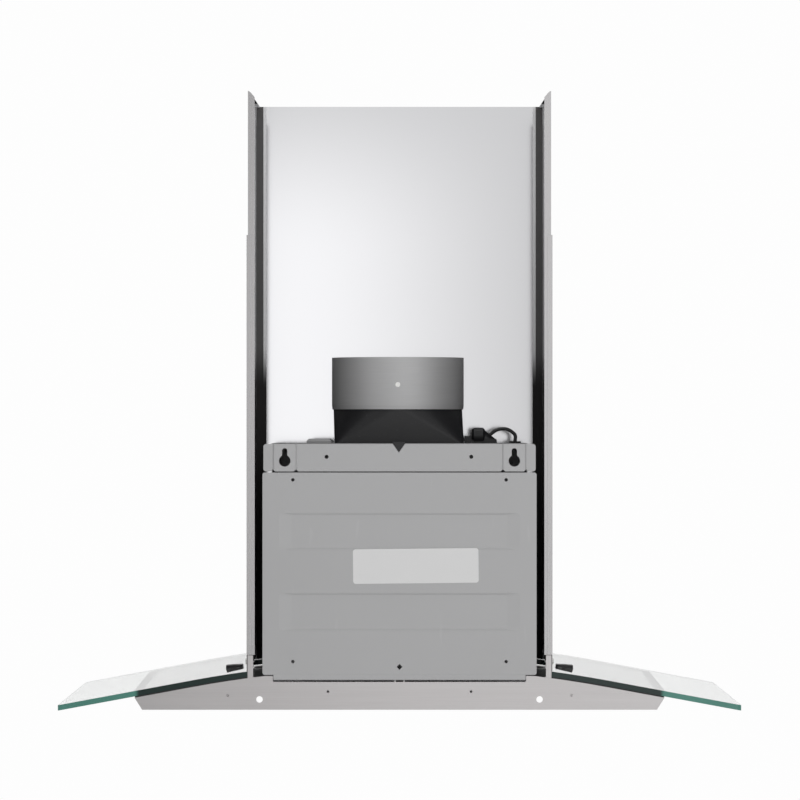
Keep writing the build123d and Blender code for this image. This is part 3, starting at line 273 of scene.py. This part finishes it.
def galvanised(name, look):
    finish, start = newFinish(name)
    place = objectPlace(start)
    cells = start.node("ShaderNodeTexVoronoi", {}, {"Vector": place, "Scale": look["spangle"]}, out="Color")
    cell = start.node("ShaderNodeSeparateColor", {}, {"Color": cells})
    mottle = noise(start, place, 35, 4)
    amount = cell * 0.6 + mottle * 0.4
    closeFinish(start, {
        "Base Color": mixed(start, amount, shade(look["tone"], 0.85), shade(look["tone"], 1.12)),
        "Metallic": 1.0,
        "Roughness": cell * 0.10 + mottle * 0.06 + (look["rough"] - 0.08),
        "Normal": bump(start, amount, 0.08, 0.0001),
    })
    return finish


dress(galvanised("galvanised sheet", zincSheet), "blower_scroll", "inlet_rings", "motor_mount",
      "capacitor_clip", "impeller")


# rolled duct collar, satin with faint lines round it
collarMetal = {"tone": (0.60, 0.60, 0.605), "rough": 0.52, "lines": 700}


def rolledMetal(name, look):
    finish, start = newFinish(name)
    place = objectPlace(start)
    lines = noise(start, place, look["lines"], 3, (0.04, 0.04, 1))
    cloud = noise(start, place, 14, 3)
    closeFinish(start, {
        "Base Color": mixed(start, lines, shade(look["tone"], 0.94), shade(look["tone"], 1.05)),
        "Metallic": 0.3,
        "Roughness": lines * 0.05 + cloud * 0.05 + (look["rough"] - 0.05),
        "Normal": bump(start, lines, 0.08, 0.00005),
    })
    return finish


dress(rolledMetal("rolled collar metal", collarMetal), "duct_collar")
print("sheet metal dressed")


# black mouldings, with a moulded grain; the adapter is the glossiest of them
blackMoulding = {"tone": (0.016, 0.016, 0.018), "rough": 0.42, "grain": 1500}
leadSheath = {"tone": (0.035, 0.035, 0.036), "rough": 0.38, "grain": 2600}
flapMoulding = {"tone": (0.075, 0.075, 0.08), "rough": 0.5, "grain": 1200}
rubberSeal = {"tone": (0.022, 0.022, 0.022), "rough": 0.75, "grain": 2200}
whiteMoulding = {"tone": (0.78, 0.78, 0.74), "rough": 0.4, "grain": 1300}
gloss = {"tone": (0.018, 0.018, 0.020), "rough": 0.12, "grain": 900}


def moulded(name, look, dust=0.25):
    finish, start = newFinish(name)
    place = objectPlace(start)
    grain = noise(start, place, look["grain"], 2)
    flow = noise(start, place, 18, 3)
    specks = ramp(start, noise(start, place, 420, 4), 0.62, 0.75)
    tint = mixed(start, flow, shade(look["tone"], 0.88), shade(look["tone"], 1.12))
    tint = mixed(start, specks * (dust * 0.2), tint, (0.5, 0.5, 0.49))
    closeFinish(start, {
        "Base Color": tint,
        "Roughness": grain * 0.08 + specks * (dust * 0.4) + flow * 0.08 + (look["rough"] - 0.08),
        "Normal": bump(start, grain, 0.18, 0.00006),
    })
    return finish


blackPlastic = moulded("black moulding", blackMoulding)
dress(blackPlastic, "transition_adapter", "glass_clamp_left", "glass_clamp_right", "motor_connector",
      "lead_clip", "filter_latch_left", "filter_latch_right")
dress(moulded("lead sheath", leadSheath), "motor_lead")
dress(moulded("flap moulding", flapMoulding), "damper_flap_front", "damper_flap_rear")
dress(moulded("black rubber", rubberSeal), "glass_gasket", "lead_grommet")
dress(moulded("white moulding", whiteMoulding, 0.1), "terminal_block")
dress(moulded("gloss black front plate", gloss, 0.05), "control_bezel")


# blank sticker
stickerPaper = {"tone": (0.92, 0.92, 0.92), "rough": 0.45}


def sticker(name, look):
    finish, start = newFinish(name)
    place = objectPlace(start)
    fibre = noise(start, place, 900, 4)
    cloud = noise(start, place, 25, 3)
    closeFinish(start, {
        "Base Color": mixed(start, fibre * 0.5 + cloud * 0.5,
                            shade(look["tone"], 0.97), shade(look["tone"], 1.02)),
        "Roughness": fibre * 0.08 + (look["rough"] - 0.04),
        "Normal": bump(start, fibre * 0.3 + cloud * 0.7, 0.1, 0.0001),
        "Coat Weight": 0.3,
        "Coat Roughness": 0.2,
    })
    return finish


dress(sticker("blank sticker", stickerPaper), "rating_label")


# zinc plated screws and ground steel shafts
screwZinc = {"tone": (0.70, 0.70, 0.68), "rough": 0.22}
groundSteel = {"tone": (0.56, 0.56, 0.57), "rough": 0.2}


def plated(name, look):
    finish, start = newFinish(name)
    place = objectPlace(start)
    tool = noise(start, place, 1100, 3)
    stain = noise(start, place, 90, 3)
    closeFinish(start, {
        "Base Color": mixed(start, stain, shade(look["tone"], 0.85), shade(look["tone"], 1.1)),
        "Metallic": 1.0,
        "Roughness": tool * 0.12 + stain * 0.1 + (look["rough"] - 0.1),
        "Normal": bump(start, tool, 0.1, 0.00005),
    })
    return finish


dress(plated("zinc plate", screwZinc), "glass_clamp_screws", "cover_screws", "collar_screws",
      "motor_mount_screws", "wiring_cover_screw")
dress(plated("ground steel", groundSteel), "motor_shaft", "flap_pin")


# motor: black enamel on the can, bare metal on its bosses
motorEnamel = {"enamel": (0.045, 0.045, 0.05), "metal": (0.52, 0.52, 0.53), "rough": 0.32, "boss": 0.0049}


def enamelledMotor(name, look):
    finish, start = newFinish(name)
    place = objectPlace(start)
    low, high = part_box("blower_motor")
    x = start.node("ShaderNodeSeparateXYZ", {}, {"Vector": place}, out="X")
    boss = start.math("LESS_THAN", x, low.x + look["boss"])
    boss = boss + start.math("GREATER_THAN", x, high.x - look["boss"])
    peel = noise(start, place, 500, 2)
    closeFinish(start, {
        "Base Color": mixed(start, boss, look["enamel"], look["metal"]),
        "Metallic": boss,
        "Roughness": peel * 0.12 + (look["rough"] - 0.06),
        "Normal": bump(start, peel, 0.15, 0.0001),
    })
    return finish


dress(enamelledMotor("motor enamel", motorEnamel), "blower_motor")


# capacitor: pale can with tinned blades
capacitorCase = {"can": (0.72, 0.72, 0.69), "blade": (0.75, 0.74, 0.70), "bladeFoot": 0.126}


def canCase(name, look):
    finish, start = newFinish(name)
    place = objectPlace(start)
    z = start.node("ShaderNodeSeparateXYZ", {}, {"Vector": place}, out="Z")
    blade = start.math("GREATER_THAN", z, look["bladeFoot"])
    flow = noise(start, place, 60, 3)
    can = mixed(start, flow, shade(look["can"], 0.95), look["can"])
    closeFinish(start, {
        "Base Color": mixed(start, blade, can, look["blade"]),
        "Metallic": blade,
        "Roughness": flow * 0.1 + 0.28,
        "Normal": bump(start, flow, 0.1, 0.0002),
    })
    return finish


dress(canCase("capacitor case", capacitorCase), "capacitor")


# circuit board: green lacquer with copper lines below it, black parts standing on it
boardLook = {"lacquer": (0.03, 0.16, 0.07), "track": (0.07, 0.26, 0.11), "part": (0.02, 0.02, 0.02),
             "behindParts": 0.003, "plate": (-0.0001, 0.0017)}


def circuitBoard(name, look):
    finish, start = newFinish(name)
    place = objectPlace(start)
    low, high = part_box("control_board")
    plate = low.y + look["behindParts"]
    front, back = [plate + reach for reach in look["plate"]]
    y = start.node("ShaderNodeSeparateXYZ", {}, {"Vector": place}, out="Y")
    part = start.math("LESS_THAN", y, front) + start.math("GREATER_THAN", y, back)
    upright = start.node("ShaderNodeMapping", {}, {"Vector": place, "Rotation": (math.pi / 2, 0, 0)})
    tracks = start.node("ShaderNodeTexBrick", {"offset": 0.4},
                        {"Vector": upright, "Scale": 90.0, "Mortar Size": 0.03, "Brick Width": 0.9,
                         "Row Height": 0.3}, out="Fac")
    board = mixed(start, tracks, look["lacquer"], look["track"])
    closeFinish(start, {
        "Base Color": mixed(start, part, board, look["part"]),
        "Roughness": noise(start, place, 300, 3) * 0.2 + 0.2,
        "Normal": bump(start, tracks, 0.2, 0.0001),
    })
    return finish


dress(circuitBoard("circuit board", boardLook), "control_board")


# satin chrome buttons, turned in rings about each button's own middle
buttonChrome = {"tone": (0.66, 0.66, 0.67), "rough": 0.2, "pitch": 0.025, "centre": 0.023, "rings": 9000}


def turnedButtons(name, look):
    finish, start = newFinish(name)
    place = objectPlace(start)
    x, z = [start.node("ShaderNodeSeparateXYZ", {}, {"Vector": place}, out=axis) for axis in "XZ"]
    across = start.node("ShaderNodeMath", {"operation": "WRAP"},
                        {0: x, 1: look["pitch"] / 2, 2: -look["pitch"] / 2})
    up = z - look["centre"]
    radius = start.math("SQRT", across * across + up * up)
    rings = start.math("SINE", radius * look["rings"])
    wear = noise(start, place, 300, 4)
    closeFinish(start, {
        "Base Color": mixed(start, rings * 0.25 + wear * 0.5,
                            shade(look["tone"], 0.88), shade(look["tone"], 1.1)),
        "Metallic": 1.0,
        "Roughness": wear * 0.12 + rings * 0.03 + look["rough"],
        "Normal": bump(start, rings, 0.05, 0.00005),
    })
    return finish


dress(turnedButtons("satin chrome", buttonChrome), "button_light", "button_power", "button_low",
      "button_medium", "button_high")


# lamps: satin nickel rims and frosted lenses with fine rings
lampLook = {"rim": (0.60, 0.59, 0.58), "lens": (0.90, 0.91, 0.90), "rough": 0.28, "rings": 4200}


def lampCentre(start, place):
    low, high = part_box("lamp_lens_right")
    x, y = [start.node("ShaderNodeSeparateXYZ", {}, {"Vector": place}, out=axis) for axis in "XY"]
    across = abs(x) - (low.x + high.x) / 2
    along = y - (low.y + high.y) / 2
    return start.math("SQRT", across * across + along * along)


def lampRim(name, look):
    finish, start = newFinish(name)
    place = objectPlace(start)
    rings = start.math("SINE", lampCentre(start, place) * look["rings"])
    wear = noise(start, place, 200, 3)
    closeFinish(start, {
        "Base Color": mixed(start, wear, shade(look["rim"], 0.92), shade(look["rim"], 1.05)),
        "Metallic": 1.0,
        "Roughness": wear * 0.1 + rings * 0.02 + (look["rough"] - 0.05),
        "Normal": bump(start, rings, 0.06, 0.00005),
    })
    return finish


def lampLens(name, look):
    finish, start = newFinish(name)
    place = objectPlace(start)
    rings = start.math("SINE", lampCentre(start, place) * (look["rings"] * 0.6))
    frost = noise(start, place, 1400, 2)
    closeFinish(start, {
        "Base Color": mixed(start, frost, shade(look["lens"], 0.95), look["lens"]),
        "Roughness": frost * 0.1 + 0.35,
        "Transmission Weight": 0.55,
        "IOR": 1.5,
        "Normal": bump(start, rings * 0.8 + frost * 0.2, 0.3, 0.0002),
    })
    return finish


dress(lampRim("satin nickel", lampLook), "lamp_housing_left", "lamp_housing_right")
dress(lampLens("frosted lens", lampLook), "lamp_lens_left", "lamp_lens_right")
print("mouldings, fasteners, electrics and lamps dressed")


def pick(piece):
    bpy.ops.object.select_all(action="DESELECT")
    piece.select_set(True)
    bpy.context.view_layer.objects.active = piece


def editAll(piece):
    pick(piece)
    bpy.ops.object.mode_set(mode="EDIT")
    bpy.ops.mesh.select_all(action="SELECT")


def leaveEdit():
    bpy.ops.object.mode_set(mode="OBJECT")


def applyModifier(piece, kind, settings):
    pick(piece)
    modifier = piece.modifiers.new(kind.lower(), kind)
    for name, value in settings.items():
        setattr(modifier, name, value)
    bpy.ops.object.modifier_apply(modifier=modifier.name)


def copyOfNode(node, name):
    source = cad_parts[node]
    piece = bpy.data.objects.new(name, source.data.copy())
    bpy.context.scene.collection.objects.link(piece)
    piece.data.materials.clear()
    editAll(piece)
    bpy.ops.mesh.customdata_custom_splitnormals_clear()
    bpy.ops.mesh.remove_doubles(threshold=0.000002)
    bpy.ops.mesh.dissolve_limited(angle_limit=math.radians(0.2))
    leaveEdit()
    return piece


# the glass: polished faces; ground edges in the glass's own green, painted bright where light comes through
# from below (painted light) and painted dark over the body (painted shade)
glassLook = {"arris": 0.0007, "clear": (0.955, 0.985, 0.972), "edge": (0.10, 0.31, 0.25),
             "edgeOverBodyPaintedShade": (0.012, 0.03, 0.026), "bodyEnd": 0.292, "notch": (0.172, -0.277)}


def clearGlass(name, look):
    finish, start = newFinish(name)
    place = objectPlace(start)
    film = ramp(start, noise(start, place, 6, 4), 0.45, 0.75)
    closeFinish(start, {
        "Base Color": mixed(start, film, look["clear"], shade(look["clear"], 0.985)),
        "Roughness": film * 0.012,
        "Transmission Weight": 1.0,
        "IOR": 1.5,
    })
    return finish


def groundEdge(name, look):
    finish, start = newFinish(name)
    place = objectPlace(start)
    x = start.node("ShaderNodeSeparateXYZ", {}, {"Vector": place}, out="X")
    # painted light: edges past the body's end painted bright green, edges over the body painted dark; the
    # green itself is the glass's own
    lit = ramp(start, abs(x), look["bodyEnd"] - 0.003, look["bodyEnd"] + 0.003)
    grinding = noise(start, place, 900, 3)
    wave = noise(start, place, 30, 2, (1, 0.2, 1))
    tint = mixed(start, grinding * 0.4 + wave * 0.3, shade(look["edge"], 0.8), shade(look["edge"], 1.35))
    closeFinish(start, {
        "Base Color": mixed(start, lit, look["edgeOverBodyPaintedShade"], tint),
        "Roughness": grinding * 0.12 + 0.12,
        "IOR": 1.5,
        "Normal": bump(start, grinding, 0.1, 0.00005),
    })
    return finish


def makeGlass():
    glass = copyOfNode("glass_canopy", "glassSheet")
    pick(glass)
    bpy.ops.object.mode_set(mode="EDIT")
    bpy.ops.mesh.select_mode(type="EDGE")
    bpy.ops.mesh.select_all(action="DESELECT")
    bpy.ops.mesh.edges_select_sharp(sharpness=math.radians(60))
    leaveEdit()
    for edge in glass.data.edges:
        ends = [glass.data.vertices[v].co for v in edge.vertices]
        if all(abs(end.x) < glassLook["notch"][0] and end.y > glassLook["notch"][1] for end in ends):
            edge.select = False
    bpy.ops.object.mode_set(mode="EDIT")
    bpy.ops.mesh.bevel(offset=glassLook["arris"], segments=2, profile=0.5, clamp_overlap=True)
    bpy.ops.mesh.select_mode(type="FACE")
    leaveEdit()
    glass.data.materials.append(clearGlass("clear glass", glassLook))
    glass.data.materials.append(groundEdge("ground glass edge", glassLook))
    for face in glass.data.polygons:
        face.material_index = 0 if abs(face.normal.z) > 0.9 else 1
    pick(glass)
    bpy.ops.object.shade_smooth_by_angle(angle=math.radians(12))
    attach(glass, "hood")
    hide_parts("glass_canopy")
    return glass


makeGlass()
print("glass made")


# filters: folded frames of bare aluminium round crossed layers of expanded mesh
aluminiumLook = {"tone": (0.66, 0.66, 0.67), "rough": 0.3}
meshLook = {"cell": (0.0120, 0.0064), "strand": 0.0009, "layerGap": 0.00099, "tone": (0.60, 0.60, 0.61)}


def bareAluminium(name, tone, rough):
    finish, start = newFinish(name)
    place = objectPlace(start)
    drawn = noise(start, place, 700, 3, (0.03, 1, 1))
    oxide = noise(start, place, 40, 4)
    closeFinish(start, {
        "Base Color": mixed(start, drawn * 0.5 + oxide * 0.5, shade(tone, 0.86), shade(tone, 1.1)),
        "Metallic": 1.0,
        "Roughness": drawn * 0.1 + oxide * 0.1 + (rough - 0.08),
        "Normal": bump(start, drawn, 0.12, 0.00006),
    })
    return finish


dress(bareAluminium("folded aluminium", aluminiumLook["tone"], aluminiumLook["rough"]), "filter_frame_left",
      "filter_frame_right")
meshFinish = bareAluminium("expanded aluminium", meshLook["tone"], 0.36)


def makeMeshLayer(name, low, high, z, across):
    centre = ((low.x + high.x) / 2, (low.y + high.y) / 2, z)
    reach = 1.5 * max(high.x - low.x, high.y - low.y)
    long, short = meshLook["cell"]
    count = round(reach / short)
    side = count * short
    bpy.ops.object.select_all(action="DESELECT")
    bpy.ops.mesh.primitive_grid_add(x_subdivisions=count, y_subdivisions=count, size=side, location=centre)
    layer = bpy.context.object
    layer.name = name
    pick(layer)
    bpy.ops.object.transform_apply(location=True, rotation=True, scale=True)
    editAll(layer)
    bpy.ops.transform.rotate(value=math.radians(45), orient_axis="Z", center_override=centre)
    root = math.sqrt(2)
    wide, tall = (long, short) if across else (short * 1.1, long)
    bpy.ops.transform.resize(value=(wide / (short * root), tall / (short * root), 1), center_override=centre)
    for point, normal in ((low, (-1, 0, 0)), (low, (0, -1, 0)), (high, (1, 0, 0)), (high, (0, 1, 0))):
        bpy.ops.mesh.select_all(action="SELECT")
        bpy.ops.mesh.bisect(plane_co=point, plane_no=normal, clear_outer=True)
    leaveEdit()
    applyModifier(layer, "WIREFRAME",
                  {"thickness": meshLook["strand"], "use_even_offset": False, "use_boundary": True})
    return layer


def makeFilterMesh(side):
    low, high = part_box(f"filter_mesh_{side}")
    middle = (low.z + high.z) / 2
    apart = meshLook["layerGap"]
    layers = [makeMeshLayer(f"meshLayer{n}", low, high, middle + (n - 0.5) * apart, n == 0) for n in range(2)]
    pick(layers[0])
    layers[1].select_set(True)
    bpy.ops.object.join()
    pack = bpy.context.object
    pack.name = f"expandedMesh{side.capitalize()}"
    pack.data.materials.append(meshFinish)
    bpy.context.view_layer.update()
    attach(pack, f"filter_{side}")
    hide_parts(f"filter_mesh_{side}")
    return pack


for side in ("left", "right"):
    pack = makeFilterMesh(side)
    print("filter mesh", side, len(pack.data.polygons), "faces")


# studio: pale floor that runs out into the white, softboxes, and one graded card behind the camera side
studio = {"floorZ": -0.65, "floorReach": 4.0, "white": 0.985, "roomGlow": 0.40}


def makeFloor():
    bpy.ops.object.select_all(action="DESELECT")
    bpy.ops.mesh.primitive_circle_add(vertices=96, radius=studio["floorReach"], fill_type="NGON",
                                      location=(0, 0, studio["floorZ"]))
    floor = bpy.context.object
    floor.name = "floor"
    finish, start = newFinish("pale floor")
    place = objectPlace(start)
    radius = start.node("ShaderNodeVectorMath", {"operation": "LENGTH"}, {0: place}, out="Value")
    fade = ramp(start, radius, 0.9, studio["floorReach"] * 0.85)
    near = start.node("ShaderNodeBsdfPrincipled", {}, {"Base Color": (0.86, 0.86, 0.86, 1), "Roughness": 0.7})
    far = start.node("ShaderNodeEmission", {}, {"Color": (1, 1, 1, 1), "Strength": studio["white"]})
    both = start.node("ShaderNodeMixShader", {}, {0: fade, 1: near, 2: far})
    below = start.node("ShaderNodeNewGeometry", out="Backfacing")
    clear = start.node("ShaderNodeBsdfTransparent")
    whole = start.node("ShaderNodeMixShader", {}, {0: below, 1: both, 2: clear})
    start.node("ShaderNodeOutputMaterial", {}, {"Surface": whole}, out=None)
    floor.data.materials.append(finish)


def makeWorld():
    world = bpy.data.worlds.new("studio white")
    bpy.context.scene.world = world
    world.use_nodes = True
    world.node_tree.nodes.clear()
    start = Wire(world.node_tree)
    path = start.node("ShaderNodeLightPath", out="Is Camera Ray")
    seen = start.math("MAXIMUM", path, path.beside("Is Transmission Ray"))
    strength = seen * (studio["white"] - studio["roomGlow"]) + studio["roomGlow"]
    back = start.node("ShaderNodeBackground", {}, {"Color": (1, 1, 1, 1), "Strength": strength})
    start.node("ShaderNodeOutputWorld", {}, {"Surface": back}, out=None)


def softbox(name, place, aim, size, glow, tint=(1, 1, 1)):
    lamp = bpy.data.lights.new(name, "AREA")
    lamp.shape = "RECTANGLE"
    lamp.size, lamp.size_y = size
    lamp.energy = glow * math.pi * size[0] * size[1]  # glow is the brightness of its face
    lamp.color = tint
    box = bpy.data.objects.new(name, lamp)
    bpy.context.scene.collection.objects.link(box)
    box.location = place
    direction = [a - b for a, b in zip(aim, place)]
    box.rotation_euler = mathutils.Vector(direction).to_track_quat("-Z", "Y").to_euler()
    box.visible_camera = False
    return box


makeFloor()
makeWorld()
softbox("rear key", (-1.05, 3.6, 0.9), (0, 0, 0.3), (2.4, 2.2), 1.05)
softbox("front wall", (0, -4.2, 0.8), (0, 0, 0.3), (4.5, 3.4), 0.42)
softbox("overhead", (0, 0.5, 2.6), (0, -0.1, 0), (2.2, 1.6), 1.0)

# graded card that the bright inside of the chimney front reflects
cardLook = {"middle": (0.0, 1.5, 0.50), "size": 0.9, "low": 0.79, "high": 1.265,
            "across": (-0.279, 0.184), "up": (0.067, 0.42), "end": (0.21, 0.27)}


def makeCard():
    bpy.ops.object.select_all(action="DESELECT")
    bpy.ops.mesh.primitive_plane_add(size=cardLook["size"], location=cardLook["middle"],
                                     rotation=(math.radians(90), 0, 0))
    card = bpy.context.object
    card.name = "gradedCard"
    finish, start = newFinish("graded card")
    place = objectPlace(start)
    x, y = [start.node("ShaderNodeSeparateXYZ", {}, {"Vector": place}, out=axis) for axis in "XY"]
    grade = ramp(start, x, *cardLook["across"]) * (1 - ramp(start, y, *cardLook["up"]))
    strength = grade * (cardLook["high"] - cardLook["low"]) + cardLook["low"]
    strength = strength * (1 - ramp(start, x, *cardLook["end"]))
    glow = start.node("ShaderNodeEmission", {}, {"Color": (1, 1, 1, 1), "Strength": strength})
    start.node("ShaderNodeOutputMaterial", {}, {"Surface": glow}, out=None)
    card.data.materials.append(finish)
    card.visible_camera = False
    card.visible_shadow = False
    card.visible_transmission = False


makeCard()
print("studio lit")

# level camera behind the hood, on its middle
cameraLook = {"place": (0, 5.5, 0.3131), "lens": 222.75, "shift": (0.0006, 0.035)}
camera = bpy.data.cameras.new("camera")
camera.lens = cameraLook["lens"]
camera.sensor_width = 36
camera.shift_x, camera.shift_y = cameraLook["shift"]
camera.clip_end = 100
cameraObject = bpy.data.objects.new("camera", camera)
cameraObject.location = cameraLook["place"]
cameraObject.rotation_euler = (math.radians(90), 0, math.radians(180))
bpy.context.scene.collection.objects.link(cameraObject)
bpy.context.scene.camera = cameraObject
bpy.context.scene.view_settings.view_transform = "Standard"
print("camera set")
